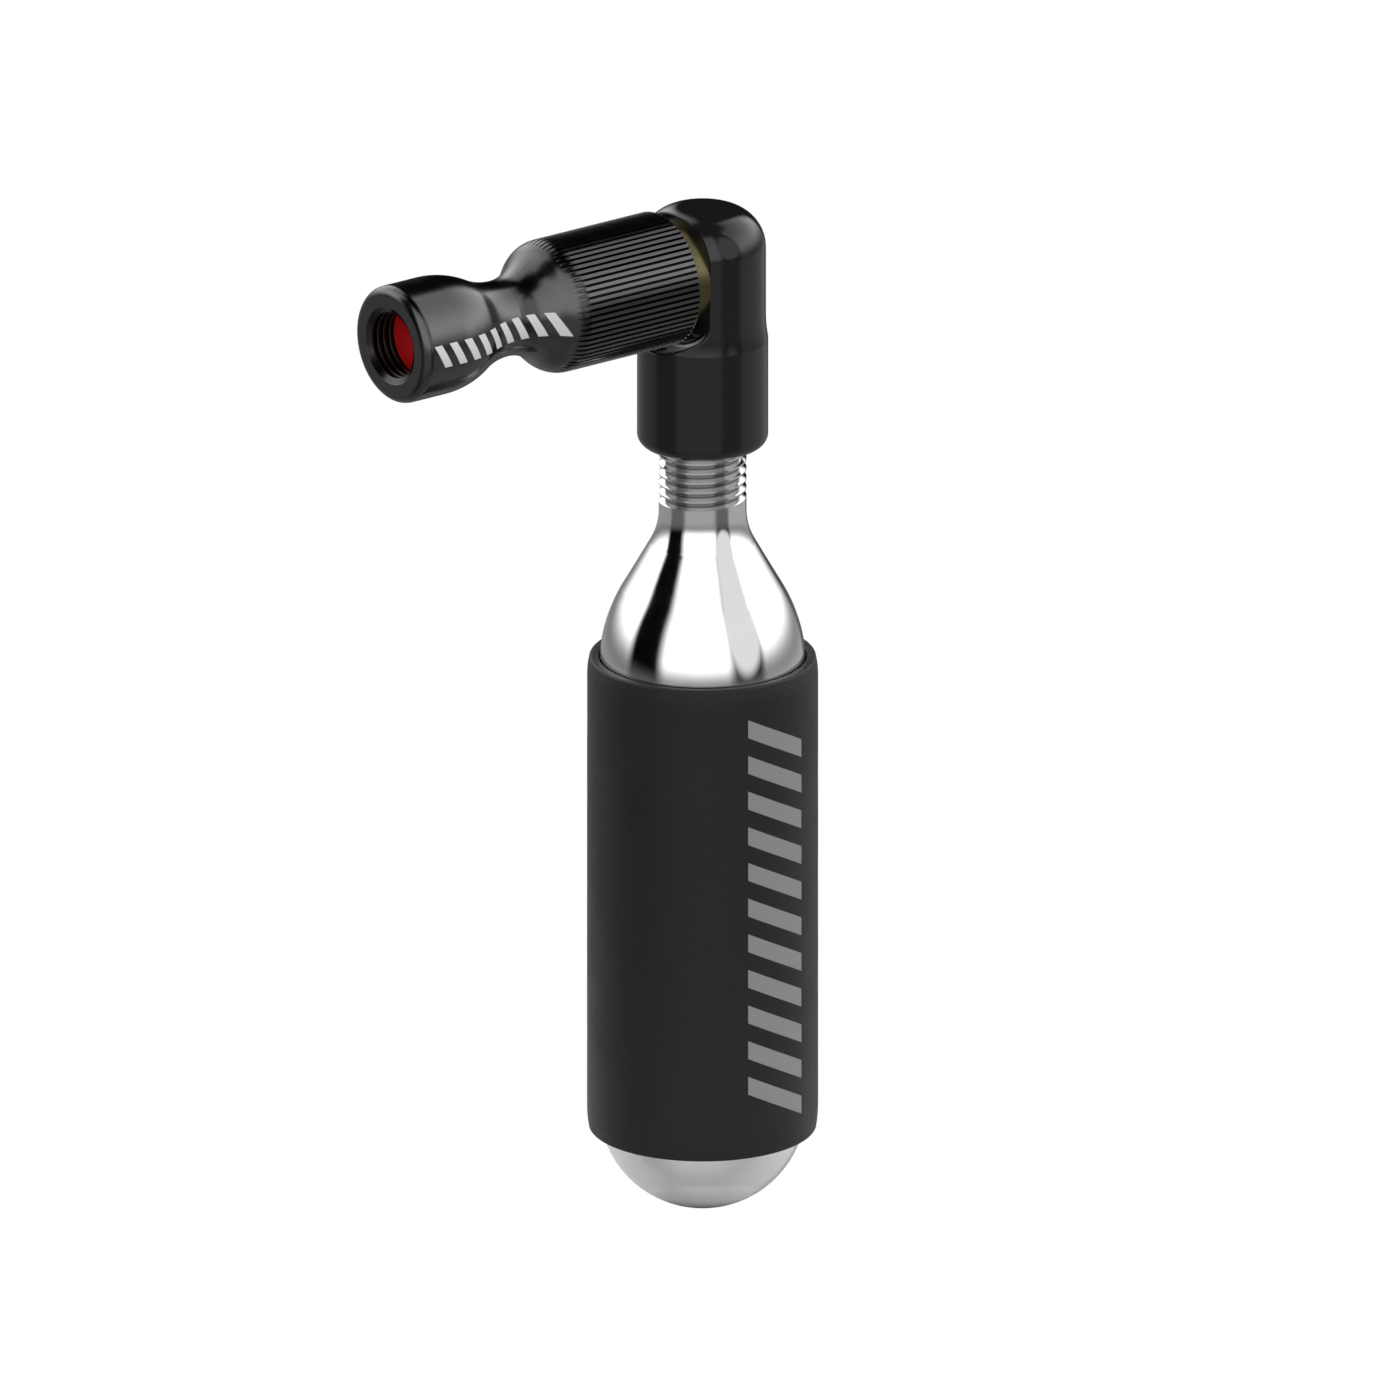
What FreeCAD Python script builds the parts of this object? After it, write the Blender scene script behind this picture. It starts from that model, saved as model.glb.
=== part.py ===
import FreeCAD, Part
import Sketcher
import math
import os
import re

# CO2 tyre inflator: a push-to-inflate chuck, an elbow head, and a threaded cartridge in a foam sleeve.
#
# The origin is the centre of the chuck's mouth. +X runs along the chuck's axis into the head, +Z is up,
# and the cartridge hangs from the head along -Z. All sizes are in millimetres.
#
# Each turned piece is drawn in its own frame, with its axis through its own origin and its front
# face at zero, and its Placement puts it on the chuck's axis or on the cartridge's.

SIZES = {
    # chuck, outside
    "nose_radius": 6.385,
    "nose_edge_radius": 1.05,
    "nose_end_x": 5.45,
    "nose_blend_radius": 10.5,
    "waist_radius": 4.12,
    "waist_nose_side_radius": 9.1,
    "waist_barrel_side_radius": 6.07,
    "shoulder_radius": 3.2,
    "barrel_start_x": 21.52,
    "barrel_radius": 7.23,
    "barrel_end_x": 36.2,
    "barrel_edge_chamfer": 0.15,
    "flute_count": 68,
    "flute_depth": 0.38,
    "flute_mouth_width": 0.3,
    "flute_floor_width": 0.16,
    # chuck, inside
    "mouth_radius": 4.25,
    "mouth_chamfer_length": 0.38,
    "valve_thread_crest_radius": 3.6,
    "valve_thread_root_radius": 3.95,
    "valve_thread_pitch": 0.794,
    "valve_thread_land": 0.2,
    "valve_thread_turns": 3,
    "seal_x": 3.5,
    "seal_gland_radius": 3.95,
    "seal_gland_length": 3.2,
    "seal_radius": 3.9,
    "seal_thickness": 2.5,
    "seal_dome": 0.25,
    "seal_hole_radius": 0.6,
    "washer_thickness": 0.65,
    "gas_bore_radius": 1.5,
    "recess_x": 22.8,
    "recess_radius": 4.4,
    "cavity_x": 24.0,
    "cavity_radius": 6.2,
    "clip_groove_x": 35.0,
    "clip_groove_width": 0.8,
    "clip_groove_radius": 6.6,
    "clip_inner_radius": 5.95,
    "clip_clearance": 0.02,
    "clip_gap": 3.0,
    # push disc and poppet valve
    "push_disc_radius": 6.15,
    "push_disc_thickness": 1.4,
    "push_disc_hole_radius": 0.6,
    "push_disc_hole_circle": 2.9,
    "push_disc_hole_count": 6,
    "poppet_tip_x": 25.43,
    "poppet_stem_radius": 1.0,
    "poppet_stem_length": 9.57,
    "poppet_head_radius": 2.5,
    "poppet_head_length": 1.3,
    "poppet_tail_radius": 1.2,
    "poppet_tail_length": 1.2,
    "poppet_seal_thickness": 0.46,
    "poppet_seal_inner_radius": 1.6,
    "poppet_seal_outer_radius": 2.4,
    # brass valve barrel that the chuck slides and turns on
    "valve_barrel_x": 31.5,
    "valve_barrel_land_radius": 6.15,
    "valve_barrel_land_length": 3.45,
    "valve_barrel_neck_radius": 5.9,
    "valve_barrel_boss_radius": 4.0,
    "valve_barrel_length": 13.4,
    "valve_barrel_face_thickness": 1.8,
    "valve_chamber_radius": 3.05,
    "land_groove_x": 1.1,
    "land_groove_width": 1.2,
    "land_groove_radius": 5.15,
    "land_ring_section_radius": 0.5,
    "boss_groove_x": 7.6,
    "boss_groove_width": 1.0,
    "boss_groove_radius": 3.2,
    "boss_ring_section_radius": 0.4,
    "port_groove_width": 1.4,
    "port_groove_radius": 3.55,
    "port_radius": 0.6,
    "port_count": 4,
    "seat_length": 1.2,
    "seat_radius": 3.0,
    "plug_x": 43.2,
    "plug_length": 1.5,
    "plug_radius": 3.0,
    "plug_hole_radius": 1.0,
    # springs
    "return_spring_radius": 4.9,
    "return_spring_wire": 0.9,
    "return_spring_turns": 3.0,
    "poppet_spring_radius": 2.2,
    "poppet_spring_wire": 0.5,
    "poppet_spring_turns": 5.0,
    "spring_end_gap": 0.02,
    # head
    "head_axis_x": 41.9,
    "head_radius": 6.73,
    "head_top": 6.71,
    "head_dome_radius": 4.4,
    "collar_radius": 6.97,
    "collar_bottom": -19.74,
    "collar_edge_radius": 1.3,
    "flare_top": -5.0,
    "flare_bottom": -7.77,
    "pocket_depth": 3.47,
    "pocket_radius": 8.0,
    "pocket_corner_radius": 0.9,
    "pocket_edge_radius": 0.2,
    "cross_bore_end": 3.3,
    "socket_top": -8.8,
    "socket_crest_radius": 4.12,
    "socket_root_radius": 4.74,
    "socket_mouth_radius": 4.84,
    "socket_mouth_chamfer": 0.7,
    "socket_thread_land": 0.13,
    "socket_thread_offset": 5.5,
    "gasket_thickness": 1.2,
    "gasket_radius": 4.6,
    "gasket_hole_radius": 1.2,
    "gasket_bore_radius": 4.62,
    # piercing lance and its carrier
    "carrier_radius": 2.4,
    "carrier_top": -5.8,
    "carrier_hole_radius": 0.95,
    "carrier_counterbore_radius": 1.6,
    "carrier_groove_z": 1.0,
    "carrier_groove_width": 0.8,
    "carrier_groove_radius": 1.8,
    "carrier_ring_section_radius": 0.3,
    "lance_flange_length": 0.6,
    "lance_radius": 0.95,
    "lance_bore_radius": 0.4,
    "lance_length": 7.0,
    "lance_tip_length": 1.3,
    "lance_tip_radius": 0.5,
    "gallery_radius": 1.0,
    # cartridge
    "cartridge_drop": -104.94,
    "cartridge_radius": 11.0,
    "cartridge_length": 89.0,
    "cartridge_wall": 1.4,
    "cartridge_shoulder_z": 60.11,
    "cartridge_shoulder_radius": 17.88,
    "cartridge_cone_angle": 29.8,
    "cartridge_neck_blend_radius": 7.05,
    "cartridge_neck_radius": 4.66,
    "cartridge_lip_chamfer": 0.35,
    "cap_radius": 3.5,
    "cap_thickness": 0.7,
    "cap_clearance": 0.05,
    "cap_hole_radius": 1.05,
    "thread_pitch": 1.0583,
    "thread_root_radius": 4.06,
    "thread_root_width": 0.175,
    "thread_bottom": 78.9,
    "thread_flank_angle": 30.0,
    # foam sleeve
    "sleeve_bottom": 8.7,
    "sleeve_top": 61.5,
    "sleeve_radius": 12.27,
    "sleeve_inner_radius": 11.05,
    "sleeve_foot_start": 11.0,
    "sleeve_foot_radius": 11.4,
    "sleeve_lip_start": 59.4,
    "sleeve_lip_radius": 8.0,
    "sleeve_rim_radius": 0.3,
    # how far a cut's outline runs past the surface that it cuts, for a groove and for a hole
    "groove_overrun": 0.1,
    "hole_overrun": 1.0,
}

ALIAS = re.compile(r"[a-z][a-z_]+[a-z]")
NEAR = 1e-4  # mm, two places or sizes this close are the same
HEXAGON = 6  # corners

document = FreeCAD.newDocument("tyre_inflator")
sheet = document.addObject("Spreadsheet::Sheet", "Sizes")
sub_parts = []


def fill_sheet():
    """Writes each driving dimension as a named cell."""
    for row, (alias, value) in enumerate(SIZES.items(), start=1):
        sheet.set(f"A{row}", alias)
        sheet.set(f"B{row}", str(value))
        sheet.setAlias(f"B{row}", alias)
    document.recompute()


def cells(formula):
    """The formula with each alias written as a cell of the sheet."""

    def cell(word):
        return f"Sizes.{word.group()}" if word.group() in SIZES else word.group()

    return ALIAS.sub(cell, formula)


def number(formula):
    """The formula's present value, in millimetres or degrees."""
    value = sheet.evalExpression(cells(formula))
    return float(getattr(value, "Value", value))


def point(across, up):
    return FreeCAD.Vector(number(across), number(up), 0)


# ---- sketches and features -------------------------------------------------------------------------


def new_body(label):
    body = document.addObject("PartDesign::Body", label)
    body.Label = label
    sub_parts.append(body)
    return body


def new_sketch(body, name, role="XZ_Plane"):
    sketch = body.newObject("Sketcher::SketchObject", name)
    plane = next(item for item in body.Origin.OriginFeatures if item.Role == role)
    sketch.AttachmentSupport = [(plane, "")]
    sketch.MapMode = "FlatFace"
    return sketch


def bind(sketch, formula, kind, *where):
    """Adds a dimension to the sketch and ties it to the sheet."""
    index = sketch.addConstraint(Sketcher.Constraint(kind, *where, number(formula)))
    sketch.setExpression(f"Constraints[{index}]", cells(formula))


def bind_point(sketch, edge, end, across, up):
    bind(sketch, across, "DistanceX", -1, 1, edge, end)
    bind(sketch, up, "DistanceY", -1, 1, edge, end)


def draw_outline(sketch, corners):
    """A closed outline of straight sides whose corners are pairs of formulas."""
    points = [point(across, up) for across, up in corners]
    count = len(points)
    first = sketch.GeometryCount
    sides = [Part.LineSegment(points[i], points[(i + 1) % count]) for i in range(count)]
    sketch.addGeometry(sides, False)
    for i in range(count):
        after = first + (i + 1) % count
        sketch.addConstraint(Sketcher.Constraint("Coincident", first + i, 2, after, 1))
        bind_point(sketch, first + i, 1, *corners[i])


def draw_circle(sketch, across, up, radius):
    circle = Part.Circle(point(across, up), FreeCAD.Vector(0, 0, 1), number(radius))
    edge = sketch.addGeometry(circle, False)
    bind_point(sketch, edge, 3, across, up)
    bind(sketch, radius, "Radius", edge)
    return edge


def arc_between(centre, radius, start, end):
    """The shorter arc round a centre, from the start's direction to the end's."""
    first = math.atan2(start.y - centre.y, start.x - centre.x)
    last = math.atan2(end.y - centre.y, end.x - centre.x)
    turn = (last - first + math.pi) % (2 * math.pi) - math.pi
    low, high = sorted((first, first + turn))
    circle = Part.Circle(centre, FreeCAD.Vector(0, 0, 1), radius)
    return Part.ArcOfCircle(circle, low, high)


def join(sketch, kind, edge, other):
    """Joins two neighbouring edges at the ends that lie nearest each other."""

    def gap(ends):
        return (sketch.getPoint(edge, ends[0]) - sketch.getPoint(other, ends[1])).Length

    near = min([(a, b) for a in (1, 2) for b in (1, 2)], key=gap)
    sketch.addConstraint(Sketcher.Constraint(kind, edge, near[0], other, near[1]))
    return near


def revolve(body, sketch, axis, name="turned"):
    feature = body.newObject("PartDesign::Revolution", name)
    feature.Profile = sketch
    feature.ReferenceAxis = (sketch, [axis])
    feature.Angle = 360
    document.recompute()
    return feature


def groove(body, sketch, axis, name):
    feature = body.newObject("PartDesign::Groove", name)
    feature.Profile = sketch
    feature.ReferenceAxis = (sketch, [axis])
    feature.Angle = 360
    document.recompute()
    return feature


def pocket(body, sketch, name, length, reverse=False, both_ways=False):
    """Cuts the sketch to the given length and makes sure that something was cut."""
    before = body.Shape.Volume
    feature = body.newObject("PartDesign::Pocket", name)
    feature.Profile = sketch
    feature.setExpression("Length", cells(length))
    feature.Reversed = reverse
    feature.Midplane = both_ways
    document.recompute()
    if body.Shape.Volume >= before:
        raise RuntimeError(f"{name} cut nothing from {body.Label}")
    return feature


def round_edges(body, name, radius, chosen, kind="PartDesign::Fillet"):
    """Rounds the edges of the body's tip that the test picks."""
    base = body.Tip
    edges = [f"Edge{i}" for i, edge in enumerate(base.Shape.Edges, start=1) if chosen(edge)]
    if not edges:
        raise RuntimeError(f"{name} found no edge on {body.Label}")
    feature = body.newObject(kind, name)
    feature.Base = (base, edges)
    feature.setExpression("Size" if kind.endswith("Chamfer") else "Radius", cells(radius))
    document.recompute()
    return feature


def circle_at(axis, place_on_axis, radius=None):
    """A test for round edges that lie at a place on an axis, with a given radius if one is stated."""

    def chosen(edge):
        if edge.Degenerated or not isinstance(edge.Curve, Part.Circle):
            return False
        at_place = abs(getattr(edge.Curve.Center, axis) - place_on_axis) < NEAR
        return at_place and (radius is None or abs(edge.Curve.Radius - radius) < NEAR)

    return chosen


def repeat(body, feature, name, axis, count):
    """Repeats a cut round an axis of the body."""
    pattern = body.newObject("PartDesign::PolarPattern", name)
    pattern.Originals = [feature]
    pattern.Axis = (axis, [""])
    pattern.Angle = 360
    pattern.setExpression("Occurrences", cells(count))
    document.recompute()
    body.Tip = pattern
    return pattern


def origin_line(body, role):
    return next(item for item in body.Origin.OriginFeatures if item.Role == role)


def place(part, across="0", up="0"):
    part.setExpression(".Placement.Base.x", cells(across))
    part.setExpression(".Placement.Base.z", cells(up))


def turned_piece(label, corners, across, up="0", axis="H_Axis"):
    """A piece turned on a lathe: its half section is a closed outline, revolved round its axis.

    With H_Axis the corners are (along X, radius); with V_Axis they are (radius, along Z).
    """
    body = new_body(label)
    sketch = new_sketch(body, "half_section")
    draw_outline(sketch, corners)
    revolve(body, sketch, axis)
    place(body, across, up)
    return body


def ring_outline(inner, outer, length):
    """The half section of a plain ring with its front face at zero."""
    return [("0", inner), ("0", outer), (length, outer), (length, inner)]


def o_ring(label, centre_radius, section_radius, across, up="0", upright=False):
    """A rubber ring round the chuck's axis, or round a vertical one if it is upright."""
    ring = document.addObject("Part::Torus", label)
    ring.Label = label
    ring.setExpression("Radius1", cells(centre_radius))
    ring.setExpression("Radius2", cells(section_radius))
    if not upright:
        ring.Placement.Rotation = FreeCAD.Rotation(FreeCAD.Vector(0, 1, 0), 90)
    place(ring, across, up)
    sub_parts.append(ring)
    return ring


def coil_spring(label, radius, wire, turns, length, across):
    """A compression spring along X: a round wire swept along a helix, with room for its end faces."""
    body = new_body(label)
    sketch = new_sketch(body, "wire_section")
    draw_circle(sketch, f"{wire} / 2 + spring_end_gap", radius, f"{wire} / 2")
    helix = body.newObject("PartDesign::AdditiveHelix", "coil")
    helix.Profile = sketch
    helix.ReferenceAxis = (sketch, ["H_Axis"])
    helix.Mode = "height-turns-angle"
    helix.setExpression("Height", cells(f"{length} - {wire} - 2 * spring_end_gap"))
    helix.setExpression("Turns", cells(turns))
    document.recompute()
    place(body, across)
    return body


# ---- chuck -----------------------------------------------------------------------------------------


def draw_chuck_outline(sketch):
    """Half section of the chuck: nose, waist and barrel outside, stepped bore inside.

    Four arcs that touch each other smoothly make the waist: nose blend, two waist arcs, shoulder.
    """
    nose, barrel = number("nose_radius"), number("barrel_radius")
    waist = number("waist_radius")
    blend, shoulder = number("nose_blend_radius"), number("shoulder_radius")
    front, back = number("waist_nose_side_radius"), number("waist_barrel_side_radius")
    nose_end, barrel_start = number("nose_end_x"), number("barrel_start_x")
    # the waist lies where the front waist arc touches the nose blend
    waist_x = nose_end + math.sqrt((blend + front) ** 2 - (waist + front - nose + blend) ** 2)
    blend_centre = FreeCAD.Vector(nose_end, nose - blend, 0)
    front_centre = FreeCAD.Vector(waist_x, waist + front, 0)
    back_centre = FreeCAD.Vector(waist_x, waist + back, 0)
    shoulder_centre = FreeCAD.Vector(barrel_start, barrel - shoulder, 0)
    front_touch = blend_centre + (front_centre - blend_centre) * (blend / (blend + front))
    back_touch = shoulder_centre + (back_centre - shoulder_centre) * (shoulder / (shoulder + back))
    waist_point = FreeCAD.Vector(waist_x, waist, 0)
    nose_top = point("nose_end_x", "nose_radius")
    barrel_top = point("barrel_start_x", "barrel_radius")

    thread_end = "mouth_chamfer_length + valve_thread_turns * valve_thread_pitch + valve_thread_land"
    bore = [
        ("barrel_end_x", "barrel_radius"),
        ("barrel_end_x", "cavity_radius"),
        ("cavity_x", "cavity_radius"),
        ("cavity_x", "recess_radius"),
        ("recess_x", "recess_radius"),
        ("recess_x", "gas_bore_radius"),
        ("seal_x + seal_gland_length", "gas_bore_radius"),
        ("seal_x + seal_gland_length", "seal_gland_radius"),
        (thread_end, "seal_gland_radius"),
        (thread_end, "valve_thread_crest_radius"),
        ("mouth_chamfer_length", "valve_thread_crest_radius"),
        ("0", "mouth_radius"),
        ("0", "nose_radius"),
    ]
    corners = [point(*corner) for corner in bore]
    straight = [Part.LineSegment(a, b) for a, b in zip(corners, corners[1:])]
    sketch.addGeometry(straight, False)
    for i, corner in enumerate(bore[:-1]):
        bind_point(sketch, i, 1, *corner)
        if i:
            sketch.addConstraint(Sketcher.Constraint("Coincident", i - 1, 2, i, 1))
    last = len(straight) - 1
    bind_point(sketch, last, 2, *bore[-1])

    curved = [
        Part.LineSegment(corners[-1], nose_top),
        arc_between(blend_centre, blend, nose_top, front_touch),
        arc_between(front_centre, front, front_touch, waist_point),
        arc_between(back_centre, back, waist_point, back_touch),
        arc_between(shoulder_centre, shoulder, back_touch, barrel_top),
        Part.LineSegment(barrel_top, corners[0]),
    ]
    sketch.addGeometry(curved, False)
    nose_line, nose_blend, waist_front, waist_back, shoulder_arc, barrel_line = range(last + 1, last + 7)
    sketch.addConstraint(Sketcher.Constraint("Coincident", last, 2, nose_line, 1))
    sketch.addConstraint(Sketcher.Constraint("Coincident", barrel_line, 2, 0, 1))
    join(sketch, "Tangent", nose_line, nose_blend)
    join(sketch, "Tangent", nose_blend, waist_front)
    waist_joint = join(sketch, "Tangent", waist_front, waist_back)
    join(sketch, "Tangent", waist_back, shoulder_arc)
    join(sketch, "Tangent", shoulder_arc, barrel_line)
    bind(sketch, "nose_end_x", "DistanceX", -1, 1, nose_line, 2)
    bind(sketch, "nose_radius", "DistanceY", -1, 1, nose_line, 2)
    bind(sketch, "barrel_radius", "DistanceY", -1, 1, barrel_line, 1)
    bind(sketch, "nose_blend_radius", "Radius", nose_blend)
    bind(sketch, "waist_nose_side_radius", "Radius", waist_front)
    bind(sketch, "waist_barrel_side_radius", "Radius", waist_back)
    bind(sketch, "shoulder_radius", "Radius", shoulder_arc)
    bind(sketch, "waist_radius", "DistanceY", -1, 1, waist_front, waist_joint[0])
    sketch.addConstraint(Sketcher.Constraint("Vertical", waist_front, 3, waist_front, waist_joint[0]))


def cut_valve_thread(body):
    """Grooves of the valve thread in the mouth, a pitch apart, with a narrow crest on each side."""
    mouth, land, pitch = "mouth_chamfer_length", "valve_thread_land", "valve_thread_pitch"
    crest, root = "valve_thread_crest_radius", "valve_thread_root_radius"
    sketch = new_sketch(body, "valve_thread_section")
    slope = f"({root} - {crest}) * tan(thread_flank_angle)"
    draw_outline(
        sketch,
        [
            (f"{mouth} + {land}", crest),
            (f"{mouth} + {land} + {slope}", root),
            (f"{mouth} + {pitch} - {slope}", root),
            (f"{mouth} + {pitch}", crest),
        ],
    )
    first = groove(body, sketch, "H_Axis", "valve_thread")
    pattern = body.newObject("PartDesign::LinearPattern", "valve_thread_turns")
    pattern.Originals = [first]
    pattern.Direction = (origin_line(body, "X_Axis"), [""])
    pattern.setExpression("Length", cells("valve_thread_pitch * (valve_thread_turns - 1)"))
    pattern.setExpression("Occurrences", cells("valve_thread_turns"))
    document.recompute()
    body.Tip = pattern


def cut_flutes(body):
    """The straight knurl: flutes along the barrel that run out in the shoulder's curve.

    A flute's sides are drawn on past the barrel's surface, as far again as the flute is deep.
    """
    sketch = new_sketch(body, "flute_section", "YZ_Plane")
    floor, outside = "barrel_radius - flute_depth", "barrel_radius + flute_depth"
    wide, narrow = "(flute_mouth_width - flute_floor_width / 2)", "flute_floor_width / 2"
    draw_outline(
        sketch,
        [(f"-{narrow}", floor), (f"-{wide}", outside), (wide, outside), (narrow, floor)],
    )
    sketch.setExpression(".AttachmentOffset.Base.z", cells("barrel_end_x"))
    flute = pocket(body, sketch, "flute", "barrel_end_x - barrel_start_x + shoulder_radius")
    repeat(body, flute, "flutes", origin_line(body, "X_Axis"), "flute_count")


def make_chuck_body():
    body = new_body("chuck_body")
    sketch = new_sketch(body, "half_section")
    draw_chuck_outline(sketch)
    revolve(body, sketch, "H_Axis")
    clip = new_sketch(body, "clip_groove_section")
    draw_outline(
        clip,
        [
            ("clip_groove_x", "cavity_radius - groove_overrun"),
            ("clip_groove_x", "clip_groove_radius"),
            ("clip_groove_x + clip_groove_width", "clip_groove_radius"),
            ("clip_groove_x + clip_groove_width", "cavity_radius - groove_overrun"),
        ],
    )
    groove(body, clip, "H_Axis", "clip_groove")
    cut_valve_thread(body)

    round_edges(body, "nose_edge", "nose_edge_radius", circle_at("x", 0, number("nose_radius")))
    rim = circle_at("x", number("barrel_end_x"), number("barrel_radius"))
    round_edges(body, "barrel_edge", "barrel_edge_chamfer", rim, "PartDesign::Chamfer")
    cut_flutes(body)


def make_chuck_seal():
    """Red rubber seal whose front is slightly domed, with the gas hole in the middle."""
    body = new_body("chuck_seal")
    sketch = new_sketch(body, "half_section")
    draw_outline(
        sketch,
        [
            ("seal_dome", "0"),
            ("seal_dome", "seal_radius"),
            ("seal_dome + seal_thickness", "seal_radius"),
            ("seal_dome + seal_thickness", "0"),
        ],
    )
    revolve(body, sketch, "H_Axis", "disc")
    dome = new_sketch(body, "dome_section")
    rise, reach = number("seal_dome"), number("valve_thread_crest_radius")
    dome_radius = (rise * rise + reach * reach) / (2 * rise)
    centre = FreeCAD.Vector(dome_radius, 0, 0)
    rim, tip = FreeCAD.Vector(rise, reach, 0), FreeCAD.Vector(0, 0, 0)
    foot = FreeCAD.Vector(rise, 0, 0)
    curve = arc_between(centre, dome_radius, tip, rim)
    dome.addGeometry([curve, Part.LineSegment(rim, foot), Part.LineSegment(foot, tip)], False)
    for edge, other in ((0, 1), (1, 2), (2, 0)):
        join(dome, "Coincident", edge, other)
    bind_point(dome, 1, 1, "seal_dome", "valve_thread_crest_radius")
    bind_point(dome, 1, 2, "seal_dome", "0")
    bind_point(dome, 2, 2, "0", "0")
    bind(dome, "(seal_dome ^ 2 + valve_thread_crest_radius ^ 2) / (2 * seal_dome)", "Radius", 0)
    revolve(body, dome, "H_Axis", "dome")
    hole = new_sketch(body, "hole_section", "YZ_Plane")
    draw_circle(hole, "0", "0", "seal_hole_radius")
    pocket(body, hole, "gas_hole", "2 * (seal_dome + seal_thickness + hole_overrun)", both_ways=True)
    place(body, "seal_x - seal_dome")


def make_push_disc():
    """Perforated disc in the chuck that pushes the poppet's stem and seats the return spring."""
    body = turned_piece(
        "push_disc",
        [
            ("0", "0"),
            ("0", "push_disc_radius"),
            ("push_disc_thickness", "push_disc_radius"),
            ("push_disc_thickness", "0"),
        ],
        "cavity_x",
    )
    sketch = new_sketch(body, "hole_section", "YZ_Plane")
    draw_circle(sketch, "0", "push_disc_hole_circle", "push_disc_hole_radius")
    hole = pocket(body, sketch, "gas_hole", "push_disc_thickness", reverse=True)
    repeat(body, hole, "gas_holes", origin_line(body, "X_Axis"), "push_disc_hole_count")


def make_retaining_ring():
    """Sprung steel ring in the chuck's rear groove, open at the bottom so that it can be squeezed in."""
    outer, width = "clip_groove_radius - clip_clearance", "clip_groove_width - 2 * clip_clearance"
    section = ring_outline("clip_inner_radius", outer, width)
    body = turned_piece("retaining_ring", section, "clip_groove_x + clip_clearance")
    sketch = new_sketch(body, "gap_section", "YZ_Plane")
    draw_outline(
        sketch,
        [
            ("-clip_gap / 2", "-clip_groove_radius - hole_overrun"),
            ("-clip_gap / 2", "0"),
            ("clip_gap / 2", "0"),
            ("clip_gap / 2", "-clip_groove_radius - hole_overrun"),
        ],
    )
    pocket(body, sketch, "gap", "2 * (clip_groove_width + hole_overrun)", both_ways=True)


def make_chuck():
    make_chuck_body()
    make_chuck_seal()
    turned_piece(
        "seal_washer",
        ring_outline("gas_bore_radius", "seal_radius", "washer_thickness"),
        "seal_x + seal_thickness",
    )
    make_push_disc()
    make_retaining_ring()


# ---- poppet valve in the brass barrel --------------------------------------------------------------


def make_valve_poppet():
    """Steel poppet: a long stem that the chuck pushes, a head, and a tail that centres its spring."""
    stem, head, tail = "poppet_stem_length", "poppet_head_length", "poppet_tail_length"
    turned_piece(
        "valve_poppet",
        [
            ("0", "0"),
            ("0", "poppet_stem_radius"),
            (stem, "poppet_stem_radius"),
            (stem, "poppet_head_radius"),
            (f"{stem} + {head}", "poppet_head_radius"),
            (f"{stem} + {head}", "poppet_tail_radius"),
            (f"{stem} + {head} + {tail}", "poppet_tail_radius"),
            (f"{stem} + {head} + {tail}", "0"),
        ],
        "poppet_tip_x",
    )


def make_poppet_seal():
    """Rubber face seal in front of the poppet's head."""
    turned_piece(
        "poppet_seal",
        ring_outline("poppet_seal_inner_radius", "poppet_seal_outer_radius", "poppet_seal_thickness"),
        "poppet_tip_x + poppet_stem_length - poppet_seal_thickness",
    )


def make_valve_barrel():
    """Brass barrel screwed into the head: the chuck slides and turns on its land, and its neck shows."""
    land, neck = "valve_barrel_land_radius", "valve_barrel_neck_radius"
    boss, length = "valve_barrel_boss_radius", "valve_barrel_length"
    neck_end = "head_axis_x - pocket_depth - valve_barrel_x"
    port = "head_axis_x - valve_barrel_x"
    body = turned_piece(
        "valve_barrel",
        [
            ("0", "gas_bore_radius"),
            ("0", land),
            ("land_groove_x", land),
            ("land_groove_x", "land_groove_radius"),
            ("land_groove_x + land_groove_width", "land_groove_radius"),
            ("land_groove_x + land_groove_width", land),
            ("valve_barrel_land_length", land),
            ("valve_barrel_land_length", neck),
            (neck_end, neck),
            (neck_end, boss),
            ("boss_groove_x", boss),
            ("boss_groove_x", "boss_groove_radius"),
            ("boss_groove_x + boss_groove_width", "boss_groove_radius"),
            ("boss_groove_x + boss_groove_width", boss),
            (f"{port} - port_groove_width / 2", boss),
            (f"{port} - port_groove_width / 2", "port_groove_radius"),
            (f"{port} + port_groove_width / 2", "port_groove_radius"),
            (f"{port} + port_groove_width / 2", boss),
            (length, boss),
            (length, "valve_chamber_radius"),
            ("valve_barrel_face_thickness", "valve_chamber_radius"),
            ("valve_barrel_face_thickness", "gas_bore_radius"),
        ],
        "valve_barrel_x",
    )
    sketch = new_sketch(body, "port_section", "XY_Plane")
    draw_circle(sketch, port, "0", "port_radius")
    hole = pocket(body, sketch, "gas_port", "valve_barrel_boss_radius + hole_overrun")
    repeat(body, hole, "gas_ports", origin_line(body, "X_Axis"), "port_count")


def make_spring_plug():
    """Brass screw plug that holds the poppet spring, with a hexagon socket through its middle."""
    body = turned_piece(
        "spring_plug",
        [("0", "0"), ("0", "plug_radius"), ("plug_length", "plug_radius"), ("plug_length", "0")],
        "plug_x",
    )
    sketch = new_sketch(body, "socket_section", "YZ_Plane")
    angles = [i * 360 / HEXAGON for i in range(HEXAGON)]
    draw_outline(sketch, [(f"plug_hole_radius * cos({a})", f"plug_hole_radius * sin({a})") for a in angles])
    pocket(body, sketch, "hexagon_socket", "2 * (plug_length + hole_overrun)", both_ways=True)


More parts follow.
